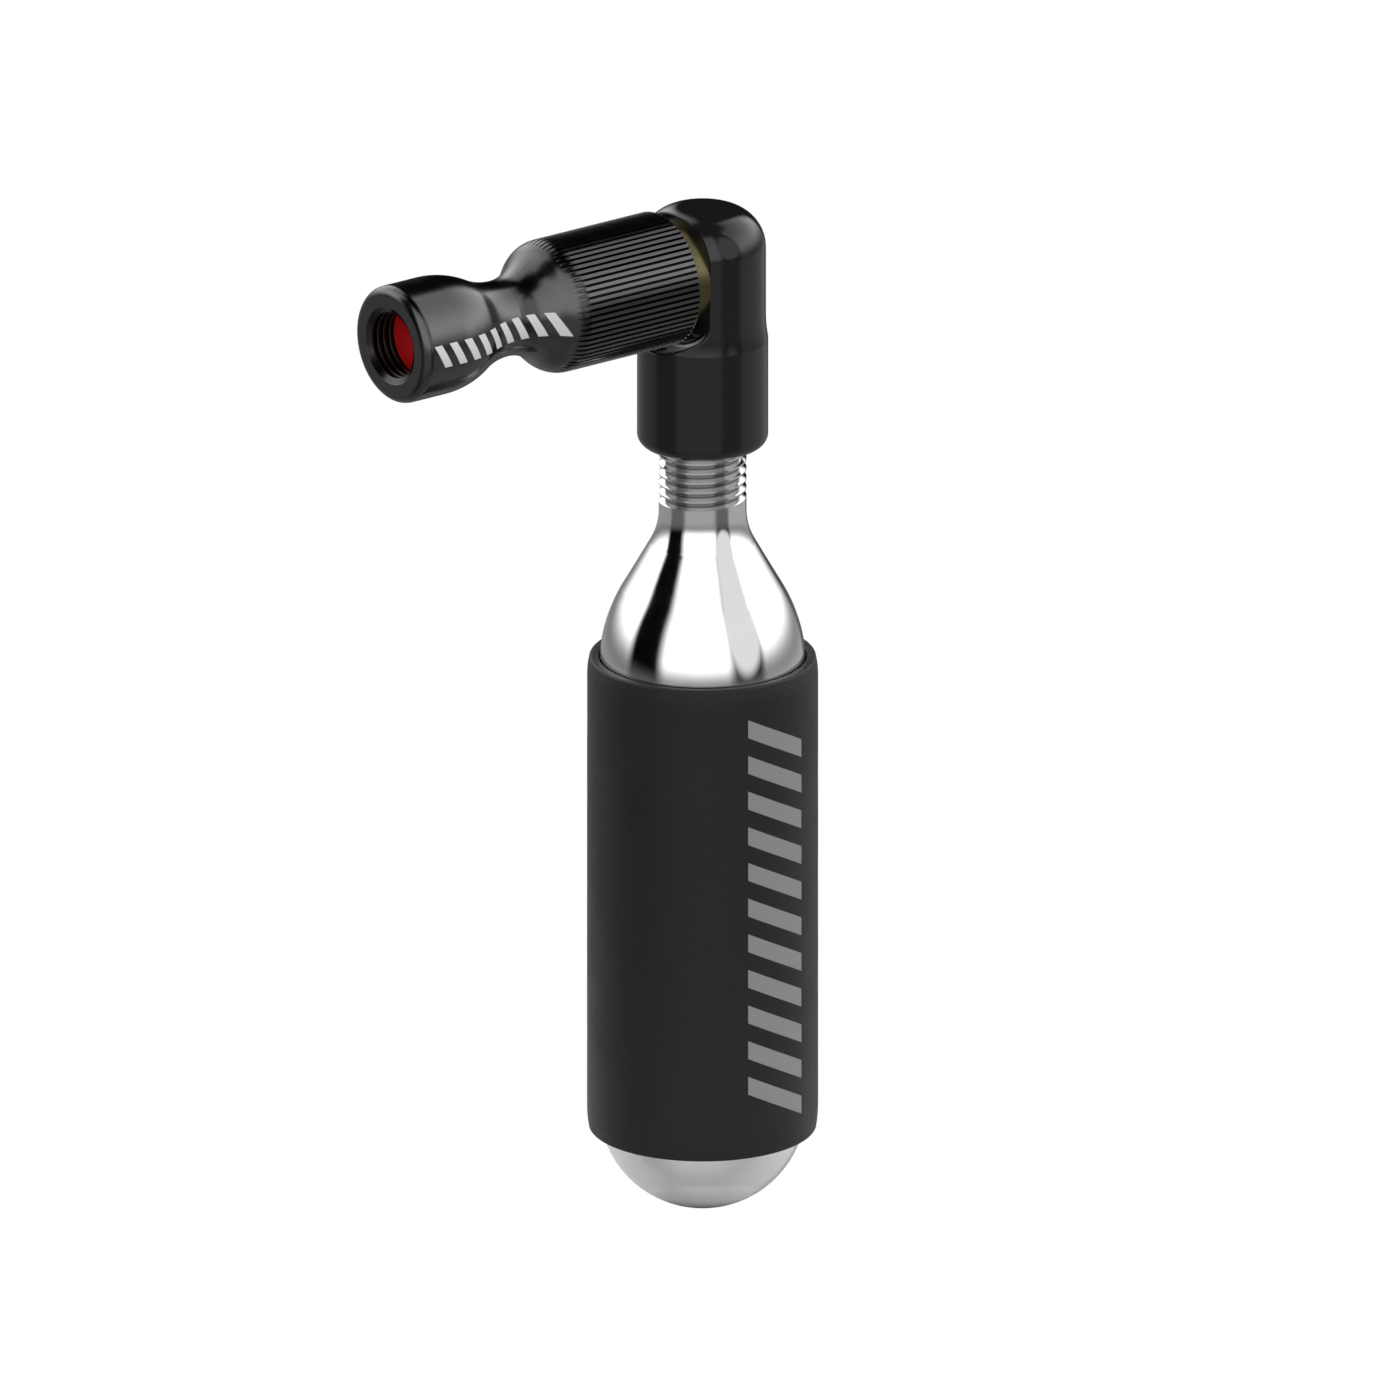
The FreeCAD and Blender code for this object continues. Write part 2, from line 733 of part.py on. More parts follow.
def make_valve():
    make_valve_barrel()
    make_valve_poppet()
    make_poppet_seal()
    turned_piece(
        "valve_seat",
        ring_outline("gas_bore_radius", "seat_radius", "seat_length"),
        "valve_barrel_x + valve_barrel_face_thickness",
    )
    make_spring_plug()
    o_ring(
        "chuck_o_ring",
        "land_groove_radius + land_ring_section_radius",
        "land_ring_section_radius",
        "valve_barrel_x + land_groove_x + land_groove_width / 2",
    )
    o_ring(
        "barrel_o_ring",
        "boss_groove_radius + boss_ring_section_radius",
        "boss_ring_section_radius",
        "valve_barrel_x + boss_groove_x + boss_groove_width / 2",
    )
    coil_spring(
        "return_spring",
        "return_spring_radius",
        "return_spring_wire",
        "return_spring_turns",
        "(valve_barrel_x - cavity_x - push_disc_thickness)",
        "cavity_x + push_disc_thickness",
    )
    poppet_back = "poppet_tip_x + poppet_stem_length + poppet_head_length"
    coil_spring(
        "poppet_spring",
        "poppet_spring_radius",
        "poppet_spring_wire",
        "poppet_spring_turns",
        f"(plug_x - ({poppet_back}))",
        poppet_back,
    )


# ---- head ------------------------------------------------------------------------------------------


def cut_socket(body):
    """Threaded socket for the cartridge, with the gasket's bore at its top and a chamfered mouth."""
    sketch = new_sketch(body, "socket_section")
    gasket_face = "socket_top - gasket_thickness"
    draw_outline(
        sketch,
        [
            ("0", "socket_top"),
            ("gasket_bore_radius", "socket_top"),
            ("gasket_bore_radius", gasket_face),
            ("socket_crest_radius", gasket_face),
            ("socket_crest_radius", "collar_bottom + socket_mouth_chamfer"),
            ("socket_mouth_radius", "collar_bottom"),
            ("0", "collar_bottom"),
        ],
    )
    groove(body, sketch, "V_Axis", "socket")


def cut_socket_thread(body):
    """The thread that the cartridge's neck screws into.

    It starts just below the collar, an odd number of half pitches above the neck's first groove,
    so that its wide groove lies on the neck's ridge.
    """
    sketch = new_sketch(body, "socket_thread_section")
    crest, root = "socket_crest_radius", "socket_root_radius"
    middle = "(cartridge_drop + thread_bottom + thread_pitch * socket_thread_offset)"
    inner = f"({crest} - groove_overrun)"
    half_crest = "(thread_pitch - socket_thread_land) / 2"
    widen = "groove_overrun * tan(thread_flank_angle)"
    narrow = f"({root} - {crest}) * tan(thread_flank_angle)"
    draw_outline(
        sketch,
        [
            (inner, f"{middle} - {half_crest} - {widen}"),
            (root, f"{middle} - {half_crest} + {narrow}"),
            (root, f"{middle} + {half_crest} - {narrow}"),
            (inner, f"{middle} + {half_crest} + {widen}"),
        ],
    )
    height = "socket_top - gasket_thickness - collar_bottom + thread_pitch / 2"
    cut_helix(body, sketch, "socket_thread", height)


def cut_helix(body, sketch, name, height):
    before = body.Shape.Volume
    helix = body.newObject("PartDesign::SubtractiveHelix", name)
    helix.Profile = sketch
    helix.ReferenceAxis = (sketch, ["V_Axis"])
    helix.Mode = "pitch-height-angle"
    helix.setExpression("Pitch", cells("thread_pitch"))
    helix.setExpression("Height", cells(height))
    document.recompute()
    if body.Shape.Volume >= before:
        raise RuntimeError(f"{name} cut nothing from {body.Label}")


def draw_head_outline(sketch):
    """Half section of the head: straight upper part, a hollow flare, and the wider collar."""
    upper, collar = number("head_radius"), number("collar_radius")
    flare_top, flare_bottom = number("flare_top"), number("flare_bottom")
    height, step = flare_top - flare_bottom, collar - upper
    flare_radius = (height**2 + step**2) / (2 * step)
    flare_head = FreeCAD.Vector(upper, flare_top, 0)
    flare_foot = FreeCAD.Vector(collar, flare_bottom, 0)
    flare_centre = FreeCAD.Vector(upper + flare_radius, flare_top, 0)
    sketch.addGeometry(
        [
            Part.LineSegment(point("0", "collar_bottom"), point("0", "head_top")),
            Part.LineSegment(point("0", "head_top"), point("head_radius", "head_top")),
            Part.LineSegment(point("head_radius", "head_top"), flare_head),
            arc_between(flare_centre, flare_radius, flare_head, flare_foot),
            Part.LineSegment(flare_foot, point("collar_radius", "collar_bottom")),
            Part.LineSegment(point("collar_radius", "collar_bottom"), point("0", "collar_bottom")),
        ],
        False,
    )
    axis_line, top_line, upper_side, flare, collar_side, bottom_line = range(6)
    at_top = ((axis_line, top_line), (top_line, upper_side))
    at_bottom = ((flare, collar_side), (collar_side, bottom_line), (bottom_line, axis_line))
    for edge, other in at_top + at_bottom:
        join(sketch, "Coincident", edge, other)
    join(sketch, "Tangent", upper_side, flare)
    bind_point(sketch, axis_line, 1, "0", "collar_bottom")
    bind_point(sketch, axis_line, 2, "0", "head_top")
    bind_point(sketch, upper_side, 1, "head_radius", "head_top")
    bind_point(sketch, upper_side, 2, "head_radius", "flare_top")
    bind_point(sketch, collar_side, 1, "collar_radius", "flare_bottom")
    bind_point(sketch, collar_side, 2, "collar_radius", "collar_bottom")


def on_pocket_rim(edge):
    """True where the pocket breaks out of the head: on its side, every other edge is a circle."""
    return not isinstance(edge.Curve, Part.Circle) and edge.CenterOfMass.x < 0


def make_elbow_body():
    """Black aluminium elbow: domed top, hollow flare to a wider collar, and the chuck's round pocket."""
    body = new_body("elbow_body")
    sketch = new_sketch(body, "half_section")
    draw_head_outline(sketch)
    revolve(body, sketch, "V_Axis")

    round_edges(body, "dome", "head_dome_radius", circle_at("z", number("head_top")))
    round_edges(body, "collar_edge", "collar_edge_radius", circle_at("z", number("collar_bottom")))

    recess = new_sketch(body, "pocket_section", "YZ_Plane")
    recess.setExpression(".AttachmentOffset.Base.z", cells("-pocket_depth"))
    draw_circle(recess, "0", "0", "pocket_radius")
    pocket(body, recess, "chuck_pocket", "collar_radius")
    wall_x, side = -number("pocket_depth"), number("pocket_radius")
    round_edges(body, "pocket_corner", "pocket_corner_radius", circle_at("x", wall_x, side))
    round_edges(body, "pocket_edge", "pocket_edge_radius", on_pocket_rim)

    bore = new_sketch(body, "cross_bore_section", "YZ_Plane")
    bore.setExpression(".AttachmentOffset.Base.z", cells("cross_bore_end"))
    draw_circle(bore, "0", "0", "valve_barrel_boss_radius")
    pocket(body, bore, "cross_bore", "cross_bore_end + collar_radius")

    cut_socket(body)
    upper = new_sketch(body, "carrier_bore_section")
    draw_outline(
        upper,
        [
            ("0", "socket_top"),
            ("carrier_radius", "socket_top"),
            ("carrier_radius", "carrier_top"),
            ("gallery_radius", "carrier_top"),
            ("gallery_radius", "2 * groove_overrun - valve_barrel_boss_radius"),
            ("0", "2 * groove_overrun - valve_barrel_boss_radius"),
        ],
    )
    groove(body, upper, "V_Axis", "carrier_bore_and_gallery")
    cut_socket_thread(body)
    place(body, "head_axis_x")


def make_lance_carrier():
    """Brass plug at the socket's top that holds the lance."""
    length = "(carrier_top - socket_top)"
    seat = f"({length} - lance_flange_length)"
    groove_top = "carrier_groove_z + carrier_groove_width"
    turned_piece(
        "lance_carrier",
        [
            ("carrier_hole_radius", "0"),
            ("carrier_radius", "0"),
            ("carrier_radius", "carrier_groove_z"),
            ("carrier_groove_radius", "carrier_groove_z"),
            ("carrier_groove_radius", groove_top),
            ("carrier_radius", groove_top),
            ("carrier_radius", length),
            ("carrier_counterbore_radius", length),
            ("carrier_counterbore_radius", seat),
            ("carrier_hole_radius", seat),
        ],
        "head_axis_x",
        "socket_top",
        "V_Axis",
    )


def make_piercing_lance():
    """Hollow steel lance with a flange on top and a tapered tip that points down at the cartridge."""
    seat = "(lance_length - lance_flange_length)"
    turned_piece(
        "piercing_lance",
        [
            ("lance_bore_radius", "0"),
            ("lance_tip_radius", "0"),
            ("lance_radius", "lance_tip_length"),
            ("lance_radius", seat),
            ("carrier_counterbore_radius", seat),
            ("carrier_counterbore_radius", "lance_length"),
            ("lance_bore_radius", "lance_length"),
        ],
        "head_axis_x",
        "carrier_top - lance_length",
        "V_Axis",
    )


def make_head():
    make_elbow_body()
    make_lance_carrier()
    make_piercing_lance()
    o_ring(
        "carrier_o_ring",
        "carrier_groove_radius + carrier_ring_section_radius",
        "carrier_ring_section_radius",
        "head_axis_x",
        "socket_top + carrier_groove_z + carrier_groove_width / 2",
        upright=True,
    )
    turned_piece(
        "cartridge_gasket",
        [
            ("gasket_hole_radius", "0"),
            ("gasket_radius", "0"),
            ("gasket_radius", "gasket_thickness"),
            ("gasket_hole_radius", "gasket_thickness"),
        ],
        "head_axis_x",
        "socket_top - gasket_thickness",
        "V_Axis",
    )


# ---- cartridge and sleeve --------------------------------------------------------------------------


def bottle_edges(wall):
    """Edges from the bottom's middle up to the neck, a wall's thickness inside the outer surface."""
    radius, shoulder_z = number("cartridge_radius"), number("cartridge_shoulder_z")
    shoulder, blend = number("cartridge_shoulder_radius"), number("cartridge_neck_blend_radius")
    neck, slope = number("cartridge_neck_radius"), math.radians(number("cartridge_cone_angle"))
    base_centre = FreeCAD.Vector(0, radius, 0)
    shoulder_centre = FreeCAD.Vector(radius - shoulder, shoulder_z, 0)
    outward = FreeCAD.Vector(math.cos(slope), math.sin(slope), 0)
    along = FreeCAD.Vector(-math.sin(slope), math.cos(slope), 0)
    cone_foot = shoulder_centre + outward * shoulder
    blend_across = neck + blend
    run = (cone_foot.x + outward.x * blend - blend_across) / math.sin(slope)
    cone_top = cone_foot + along * run
    blend_centre = cone_top + outward * blend
    inward = outward * -wall
    bottom = FreeCAD.Vector(0, wall, 0)
    body_foot = FreeCAD.Vector(radius - wall, radius, 0)
    body_top = FreeCAD.Vector(radius - wall, shoulder_z, 0)
    neck_foot = FreeCAD.Vector(neck - wall, blend_centre.y, 0)
    neck_top = FreeCAD.Vector(neck - wall, number("cartridge_length"), 0)
    return [
        arc_between(base_centre, radius - wall, bottom, body_foot),
        Part.LineSegment(body_foot, body_top),
        arc_between(shoulder_centre, shoulder - wall, body_top, cone_foot + inward),
        Part.LineSegment(cone_foot + inward, cone_top + inward),
        arc_between(blend_centre, blend + wall, cone_top + inward, neck_foot),
        Part.LineSegment(neck_foot, neck_top),
    ]


def draw_bottle_side(sketch, wall):
    """One side of the cartridge's wall: base, body, shoulder, cone, blend and neck, smoothly joined."""
    base = sketch.GeometryCount
    sketch.addGeometry(bottle_edges(number(wall)), False)
    body, shoulder, cone, blend, neck = range(base + 1, base + 6)
    for edge in (base, body, shoulder, cone, blend):
        join(sketch, "Tangent", edge, edge + 1)
    bottom = 1 if sketch.getPoint(base, 1).x < sketch.getPoint(base, 2).x else 2
    bind_point(sketch, base, 3, "0", "cartridge_radius")
    sketch.addConstraint(Sketcher.Constraint("PointOnObject", base, bottom, -2))
    bind(sketch, f"cartridge_radius - {wall}", "Radius", base)
    sketch.addConstraint(Sketcher.Constraint("Vertical", body))
    bind(sketch, "cartridge_shoulder_z", "DistanceY", -1, 1, body, 2)
    bind(sketch, f"cartridge_shoulder_radius - {wall}", "Radius", shoulder)
    lean = "90 + cartridge_cone_angle"
    index = sketch.addConstraint(Sketcher.Constraint("Angle", cone, math.radians(number(lean))))
    sketch.setExpression(f"Constraints[{index}]", f"({cells(lean)}) * 1 deg")
    bind(sketch, f"cartridge_neck_blend_radius + {wall}", "Radius", blend)
    sketch.addConstraint(Sketcher.Constraint("Vertical", neck))
    bind(sketch, f"cartridge_neck_radius - {wall}", "DistanceX", -1, 1, neck, 2)
    bind(sketch, "cartridge_length", "DistanceY", -1, 1, neck, 2)
    return base, bottom, neck


def close_with_line(sketch, first, last):
    """Draws a straight edge between two edges' ends, each given as an edge and its end."""
    line = sketch.addGeometry(Part.LineSegment(sketch.getPoint(*first), sketch.getPoint(*last)), False)
    sketch.addConstraint(Sketcher.Constraint("Coincident", *first, line, 1))
    sketch.addConstraint(Sketcher.Constraint("Coincident", *last, line, 2))


def make_cartridge_shell():
    """Steel cartridge: hemispherical base, straight body, cone shoulder and threaded neck."""
    body = new_body("cartridge_shell")
    sketch = new_sketch(body, "half_section")
    outer_base, outer_bottom, outer_neck = draw_bottle_side(sketch, "0")
    inner_base, inner_bottom, inner_neck = draw_bottle_side(sketch, "cartridge_wall")
    close_with_line(sketch, (outer_neck, 2), (inner_neck, 2))
    close_with_line(sketch, (inner_base, inner_bottom), (outer_base, outer_bottom))
    revolve(body, sketch, "V_Axis")
    lip = circle_at("z", number("cartridge_length"), number("cartridge_neck_radius"))
    round_edges(body, "lip_chamfer", "cartridge_lip_chamfer", lip, "PartDesign::Chamfer")
    seat = new_sketch(body, "cap_seat_section")
    cap_floor = "cartridge_length - cap_thickness - cap_clearance"
    draw_outline(
        seat,
        [
            ("0", cap_floor),
            ("cap_radius + cap_clearance", cap_floor),
            ("cap_radius + cap_clearance", "cartridge_length"),
            ("0", "cartridge_length"),
        ],
    )
    groove(body, seat, "V_Axis", "cap_seat")

    thread = new_sketch(body, "thread_section")
    root, outside = "thread_root_radius", "(cartridge_neck_radius + 2 * groove_overrun)"
    half_root = "thread_root_width / 2"
    half_mouth = f"({half_root} + ({outside} - {root}) * tan(thread_flank_angle))"
    draw_outline(
        thread,
        [
            (root, f"thread_bottom - {half_root}"),
            (outside, f"thread_bottom - {half_mouth}"),
            (outside, f"thread_bottom + {half_mouth}"),
            (root, f"thread_bottom + {half_root}"),
        ],
    )
    cut_helix(body, thread, "thread", "cartridge_length - thread_bottom + thread_pitch")
    place(body, "head_axis_x", "cartridge_drop")


def make_foam_sleeve():
    """Foam sleeve: a straight tube whose ends draw in a little and have soft rims."""
    body = new_body("foam_sleeve")
    sketch = new_sketch(body, "half_section")
    outer, inner = number("sleeve_radius"), number("sleeve_inner_radius")
    foot_radius, lip_radius = number("sleeve_foot_radius"), number("sleeve_lip_radius")
    foot_start, lip_start = number("sleeve_foot_start"), number("sleeve_lip_start")
    bottom, top = number("sleeve_bottom"), number("sleeve_top")
    foot_centre = FreeCAD.Vector(outer - foot_radius, foot_start, 0)
    lip_centre = FreeCAD.Vector(outer - lip_radius, lip_start, 0)
    foot_across = foot_centre.x + math.sqrt(foot_radius**2 - (foot_start - bottom) ** 2)
    lip_across = lip_centre.x + math.sqrt(lip_radius**2 - (top - lip_start) ** 2)
    foot = FreeCAD.Vector(foot_across, bottom, 0)
    lip = FreeCAD.Vector(lip_across, top, 0)
    side_foot, side_lip = FreeCAD.Vector(outer, foot_start, 0), FreeCAD.Vector(outer, lip_start, 0)
    inner_foot, inner_lip = FreeCAD.Vector(inner, bottom, 0), FreeCAD.Vector(inner, top, 0)
    sketch.addGeometry(
        [
            Part.LineSegment(side_foot, side_lip),
            arc_between(lip_centre, lip_radius, side_lip, lip),
            Part.LineSegment(lip, inner_lip),
            Part.LineSegment(inner_lip, inner_foot),
            Part.LineSegment(inner_foot, foot),
            arc_between(foot_centre, foot_radius, foot, side_foot),
        ],
        False,
    )
    side, lip_arc, top_line, inner_line, bottom_line, foot_arc = range(6)
    join(sketch, "Tangent", side, lip_arc)
    join(sketch, "Tangent", foot_arc, side)
    sharp = ((lip_arc, top_line), (top_line, inner_line), (inner_line, bottom_line), (bottom_line, foot_arc))
    for edge, other in sharp:
        join(sketch, "Coincident", edge, other)
    bind_point(sketch, side, 1, "sleeve_radius", "sleeve_foot_start")
    bind_point(sketch, side, 2, "sleeve_radius", "sleeve_lip_start")
    bind_point(sketch, inner_line, 1, "sleeve_inner_radius", "sleeve_top")
    bind_point(sketch, inner_line, 2, "sleeve_inner_radius", "sleeve_bottom")
    sketch.addConstraint(Sketcher.Constraint("Horizontal", top_line))
    sketch.addConstraint(Sketcher.Constraint("Horizontal", bottom_line))
    bind(sketch, "sleeve_lip_radius", "Radius", lip_arc)
    bind(sketch, "sleeve_foot_radius", "Radius", foot_arc)
    revolve(body, sketch, "V_Axis")

    round_edges(body, "bottom_rims", "sleeve_rim_radius", circle_at("z", bottom))
    round_edges(body, "top_rims", "sleeve_rim_radius", circle_at("z", top))
    place(body, "head_axis_x", "cartridge_drop")


def make_cartridge():
    make_cartridge_shell()
    turned_piece(
        "cartridge_cap",
        [
            ("cap_hole_radius", "0"),
            ("cap_radius", "0"),
            ("cap_radius", "cap_thickness"),
            ("cap_hole_radius", "cap_thickness"),
        ],
        "head_axis_x",
        "cartridge_drop + cartridge_length - cap_thickness",
        "V_Axis",
    )
    make_foam_sleeve()


# ---- build, check and write ------------------------------------------------------------------------


def check_document():
    """Stops if any object failed or any sub-part's shape is empty or broken."""
    for item in document.Objects:
        if {"Invalid", "Error"} & set(item.State):
            raise RuntimeError(f"{item.Label} ({item.Name}) is {item.State}")
    for part in sub_parts:
        shape = part.Shape
        if shape.isNull() or not shape.isValid() or not shape.Solids:
            raise RuntimeError(f"{part.Label} has no valid solid")


def write_parts():
    os.makedirs("parts", exist_ok=True)
    for part in sub_parts:
        part.Shape.exportStep(f"parts/{part.Label}.step")
        box = part.Shape.BoundBox
        print(
            f"{part.Label:18} {len(part.Shape.Solids)} solid, {part.Shape.Volume:9.2f} mm3,"
            f" x {box.XMin:7.2f} {box.XMax:7.2f}, z {box.ZMin:8.2f} {box.ZMax:7.2f}"
        )


fill_sheet()
make_chuck()
make_valve()
make_head()
make_cartridge()
document.recompute()
check_document()
write_parts()
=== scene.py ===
import math

import bmesh
import bpy
from mathutils import Matrix, Vector, noise


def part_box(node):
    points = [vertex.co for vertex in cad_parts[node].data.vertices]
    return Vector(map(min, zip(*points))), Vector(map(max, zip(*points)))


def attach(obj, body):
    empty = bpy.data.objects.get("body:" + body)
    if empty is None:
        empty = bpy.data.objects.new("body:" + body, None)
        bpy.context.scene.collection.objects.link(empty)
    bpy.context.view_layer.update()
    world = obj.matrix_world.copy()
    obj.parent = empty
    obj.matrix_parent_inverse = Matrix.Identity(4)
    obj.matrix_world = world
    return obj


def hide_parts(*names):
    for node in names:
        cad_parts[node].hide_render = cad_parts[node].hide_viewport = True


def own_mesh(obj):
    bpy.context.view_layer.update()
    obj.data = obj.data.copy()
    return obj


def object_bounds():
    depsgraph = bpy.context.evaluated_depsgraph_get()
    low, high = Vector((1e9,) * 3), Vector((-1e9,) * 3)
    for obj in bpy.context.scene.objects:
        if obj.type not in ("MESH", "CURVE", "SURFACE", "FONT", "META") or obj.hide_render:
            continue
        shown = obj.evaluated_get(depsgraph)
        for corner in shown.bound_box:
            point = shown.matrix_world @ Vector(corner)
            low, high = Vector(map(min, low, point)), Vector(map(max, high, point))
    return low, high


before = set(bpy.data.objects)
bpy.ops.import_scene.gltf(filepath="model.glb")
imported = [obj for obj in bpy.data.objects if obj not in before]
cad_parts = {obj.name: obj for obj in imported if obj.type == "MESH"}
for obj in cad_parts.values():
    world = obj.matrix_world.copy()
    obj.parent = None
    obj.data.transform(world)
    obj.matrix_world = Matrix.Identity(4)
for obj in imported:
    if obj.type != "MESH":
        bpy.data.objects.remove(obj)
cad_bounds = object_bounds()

# Looks of the CO2 tyre inflator. Lengths are in metres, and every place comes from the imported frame.
# Materials read a piece's own coordinates, in millimetres, so their detail stays put as the piece moves.
# A noise's scale is about its cycles in a millimetre, and nearly all its values lie within NOISE_SPAN.

MM = 0.001

NOISE_SPAN = 0.3, 0.7

# The view: the camera looks down on the chuck's mouth from its left.
VIEW_AZIMUTH = math.radians(-37.65)
VIEW_ELEVATION = math.radians(19.0)
VIEW_WIDTH = 0.14851
CAMERA_DISTANCE = 0.6
AIM_RIGHT = -0.276 * MM
AIM_UP = 0.3 * MM

# Level directions of the view, from which the soft boxes' azimuths are measured.
TOWARDS_CAMERA = Vector((math.sin(VIEW_AZIMUTH), -math.cos(VIEW_AZIMUTH), 0))
TO_THE_RIGHT = Vector((math.cos(VIEW_AZIMUTH), math.sin(VIEW_AZIMUTH), 0))
UPWARDS = Vector((0, 0, 1))


CHUCK_LOW, CHUCK_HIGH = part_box("chuck_body")
SHELL_LOW, SHELL_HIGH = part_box("cartridge_shell")
SLEEVE_LOW, SLEEVE_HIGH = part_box("foam_sleeve")
HEAD_AXIS_X = (SHELL_LOW.x + SHELL_HIGH.x) / 2
SLEEVE_RADIUS = (SLEEVE_HIGH.y - SLEEVE_LOW.y) / 2
SLEEVE_WALL = 1.18 * MM

# The chuck, in millimetres: X runs along it from its mouth, and radii are from its axis.
BARREL_RADIUS = (CHUCK_HIGH.y - CHUCK_LOW.y) / 2 / MM
FLUTE_DARK_FROM = 0.3
FLUTE_EDGE = 0.06
KNURL_LENGTH = 14.7
KNURL_START = CHUCK_HIGH.x / MM - KNURL_LENGTH
KNURL_SOFT = 0.6
MOUTH_RADIUS = 4.25
LAND_RADIUS = 3.6
CHAMFER_LENGTH = 0.38
BORE_DEPTH = 6.7

# The cartridge's thread, in millimetres from its axis: where painted shade greys its roots.
THREAD_ROOT_RADIUS = 4.06
THREAD_ROOT_SOFT = 0.22


# ---- node graphs -----------------------------------------------------------------------------------


class Graph:
    """A node tree built by short calls: each returns the output that the next call takes."""

    def __init__(self, tree):
        self.tree = tree

    def feed(self, socket, value):
        if isinstance(value, bpy.types.NodeSocket):
            self.tree.links.new(value, socket)
        else:
            socket.default_value = value

    def add(self, kind, inputs=(), **settings):
        node = self.tree.nodes.new(kind)
        for name, value in settings.items():
            setattr(node, name, value)
        for key, value in dict(inputs).items():
            self.feed(node.inputs[key], value)
        return node

    def math(self, operation, *values, clamp=False):
        node = self.add("ShaderNodeMath", enumerate(values), operation=operation, use_clamp=clamp)
        return node.outputs[0]

    def vector(self, operation, *values):
        node = self.add("ShaderNodeVectorMath", enumerate(values), operation=operation)
        return node.outputs["Value" if operation in ("DOT_PRODUCT", "LENGTH") else "Vector"]

    def scaled(self, vector, factors):
        return self.vector("MULTIPLY", vector, factors)

    def split(self, vector):
        return self.add("ShaderNodeSeparateXYZ", {0: vector}).outputs

    def joined(self, x, y, z):
        return self.add("ShaderNodeCombineXYZ", {0: x, 1: y, 2: z}).outputs[0]

    def ramp(self, value, low, high, start=0.0, end=1.0, kind="SMOOTHSTEP"):
        """The value carried from low..high to start..end, and held at the ends."""
        inputs = {"Value": value, "From Min": low, "From Max": high, "To Min": start, "To Max": end}
        return self.add("ShaderNodeMapRange", inputs, interpolation_type=kind).outputs[0]

    def band(self, value, low, high, soft):
        """One between low and high and nothing outside, with edges that are soft wide."""
        rise = self.ramp(value, low - soft / 2, low + soft / 2)
        fall = self.ramp(value, high - soft / 2, high + soft / 2, 1.0, 0.0)
        return self.math("MULTIPLY", rise, fall)

    def noise(self, vector, scale, detail=3.0, roughness=0.6):
        inputs = {"Vector": vector, "Scale": scale, "Detail": detail, "Roughness": roughness}
        return self.add("ShaderNodeTexNoise", inputs).outputs[0]

    def spread(self, noise, start, end):
        """Noise carried from the span that it mostly keeps to, to start..end."""
        return self.ramp(noise, *NOISE_SPAN, start, end)

    def cells(self, vector, scale):
        """Distance from the nearest of scattered points."""
        inputs = {"Vector": vector, "Scale": scale}
        return self.add("ShaderNodeTexVoronoi", inputs, feature="F1").outputs["Distance"]

    def mix(self, factor, first, second):
        """A colour between the first and the second."""
        node = self.add("ShaderNodeMix", {0: factor, 6: first, 7: second}, data_type="RGBA")
        return node.outputs[2]

    def bump(self, height, depth_mm, below=None):
        inputs = {"Height": height, "Distance": depth_mm * MM, "Strength": 1.0}
        if below is not None:
            inputs["Normal"] = below
        return self.add("ShaderNodeBump", inputs).outputs[0]


def grey(level):
    return (level, level, level, 1.0)


def rgb(red, green, blue):
    return (red, green, blue, 1.0)


def new_material(name, **sockets):
    """A material with a Principled shader. The sockets given here are the same all over the surface."""
    material = bpy.data.materials.new(name)
    material.use_nodes = True
    shader = material.node_tree.nodes["Principled BSDF"]
    for key, value in sockets.items():
        shader.inputs[key.replace("_", " ")].default_value = value
    return material, Graph(material.node_tree), shader.inputs


def millimetres(graph):
    coordinates = graph.add("ShaderNodeTexCoord").outputs["Object"]
    return graph.scaled(coordinates, (1 / MM,) * 3)


def along_axis(graph, place, axis, stretch=0.04):
    """Coordinates in which noise makes fine rings round an axis, as a lathe tool leaves them."""
    factors = [stretch] * 3
    factors["XYZ".index(axis)] = 1.0
    return graph.scaled(place, factors)


def from_head_axis(graph, x, y):
    """A place seen from the upright axis of the head, cartridge and sleeve, in millimetres."""
    return graph.joined(graph.math("SUBTRACT", x, HEAD_AXIS_X / MM), y, 0.0)


def distance_from_head_axis(graph, x, y):
    return graph.vector("LENGTH", from_head_axis(graph, x, y))


def slanted_bars(graph, across, along, width, length, pitch, slant):
    """A generic printed mark: a row of slanted bars. One on a bar and nothing elsewhere."""
    edge = 0.05
    shifted = graph.math("MULTIPLY_ADD", across, slant, along)
    phase = graph.math("PINGPONG", shifted, pitch / 2)
    bars = graph.ramp(phase, pitch / 4 - edge, pitch / 4 + edge, 1.0, 0.0)
    inside = graph.band(across, -width / 2, width / 2, edge)
    within = graph.band(shifted, -length / 2, length / 2, edge)
    return graph.math("MULTIPLY", graph.math("MULTIPLY", bars, inside), within)


# ---- materials -------------------------------------------------------------------------------------


def chuck_flutes(graph, x, radius):
    """One low in the flutes of the knurl, fading out up to their edges, and nothing elsewhere: where
    painted shade darkens the chuck.
    """
    deep = graph.ramp(radius, BARREL_RADIUS - FLUTE_DARK_FROM, BARREL_RADIUS - FLUTE_EDGE, 1.0, 0.0)
    on_barrel = graph.ramp(x, KNURL_START - KNURL_SOFT, KNURL_START + KNURL_SOFT)
    return graph.math("MULTIPLY", deep, on_barrel)


